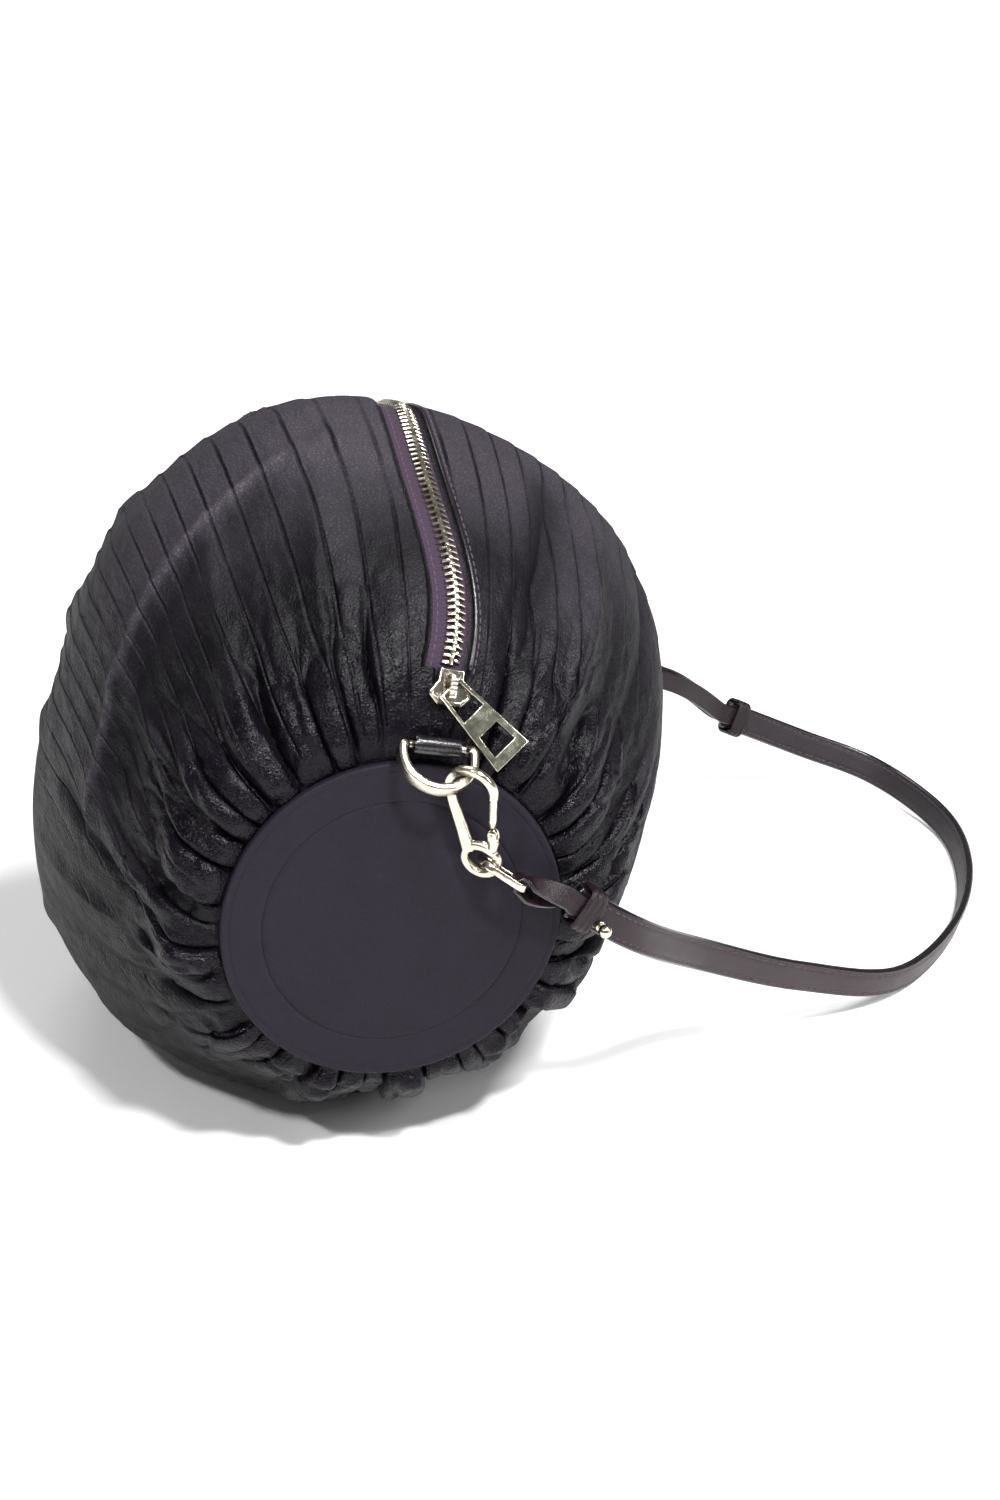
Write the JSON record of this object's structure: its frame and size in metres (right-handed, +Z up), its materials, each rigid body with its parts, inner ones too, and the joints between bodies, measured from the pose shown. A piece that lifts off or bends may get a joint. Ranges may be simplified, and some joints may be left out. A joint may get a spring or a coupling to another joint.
{
  "type": "bracelet pouch",
  "caption": "Round gathered leather pouch lying on its side, with flat end discs, a zip across the top and a leather wrist strap on snap hooks.",
  "frame": {"origin": "centre of the flattened underside, on the surface that the pouch lies on, below the middle of the axis between the discs", "axes": "+Z up; Y along the axis of the pouch with the near disc at -Y; +X to the side where the strap lies"},
  "size_m": [0.3979, 0.2782, 0.2494],
  "materials": {
    "pouch_leather": "soft grained leather, satin",
    "disc_leather": "fine matte leather",
    "strap_leather": "fine grained leather with painted edges",
    "zip_cloth": "woven tape",
    "metal": "polished pale nickel"
  },
  "bodies": {
    "pouch": {"pouch_body": "pouch_leather", "end_disc_near": "disc_leather", "end_disc_far": "disc_leather", "zip_tape": "zip_cloth", "zip_chain": "metal", "zip_slider": "metal", "d_ring_near": "metal", "d_ring_far": "metal", "ring_tab_near": "pouch_leather", "ring_tab_far": "pouch_leather", "snap_hook_near": "metal", "snap_hook_far": "metal", "strap_link_near": "metal", "strap_link_far": "metal", "wrist_strap": "strap_leather", "strap_tongue_near": "strap_leather", "strap_tongue_far": "strap_leather", "strap_keeper_near": "strap_leather", "strap_keeper_far": "strap_leather", "ball_stud": "metal"},
    "pull": {"zip_pull": "metal"},
    "gate_near": {"hook_gate_near": "metal"},
    "gate_far": {"hook_gate_far": "metal"}
  },
  "joints": [
    {"name": "pull_lift", "type": "hinge", "parent": "pouch", "child": "pull", "pos_m": [0.02112, -0.10708, 0.18032], "axis": [-0.7918, -0.3939, -0.4669], "range_deg": [0, 70]},
    {"name": "gate_near_open", "type": "hinge", "parent": "pouch", "child": "gate_near", "pos_m": [0.03053, -0.12589, 0.13616], "axis": [-0.5781, -0.7811, -0.236], "range_deg": [0, 28], "stiffness_Nm_per_rad": 0.004, "springref_deg": -20.05},
    {"name": "gate_far_open", "type": "hinge", "parent": "pouch", "child": "gate_far", "pos_m": [0.03053, 0.12589, 0.13616], "axis": [0.5781, -0.7811, 0.236], "range_deg": [0, 28], "stiffness_Nm_per_rad": 0.004, "springref_deg": -20.05}
  ]
}
